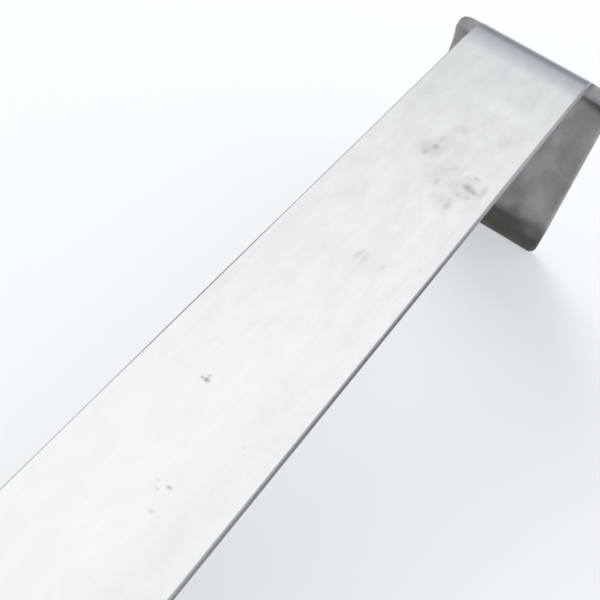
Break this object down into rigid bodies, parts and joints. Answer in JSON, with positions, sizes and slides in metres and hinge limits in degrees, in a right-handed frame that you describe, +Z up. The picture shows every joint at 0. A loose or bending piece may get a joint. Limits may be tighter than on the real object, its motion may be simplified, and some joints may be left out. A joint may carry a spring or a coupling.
{
  "type": "surgical retractor",
  "caption": "Hand-held retractor bent from one flat steel strip: plain straight handle, wider blade turned down at a right angle, small lip at the tip.",
  "frame": {"origin": "middle of the retractor's footprint, on the table that it lies on", "axes": "+Z up, +Y from the handle's free end towards the blade, +X across the strip; the retractor lies as it comes to rest, on the tip's lip and the handle's end, so the handle slopes up towards the blade by about 12.8 degrees"},
  "size_m": [0.0366, 0.2226, 0.0485],
  "materials": {
    "steel": "satin stainless steel, finely brushed along the strip"
  },
  "bodies": {
    "root": {"retractor": "steel"}
  },
  "joints": []
}
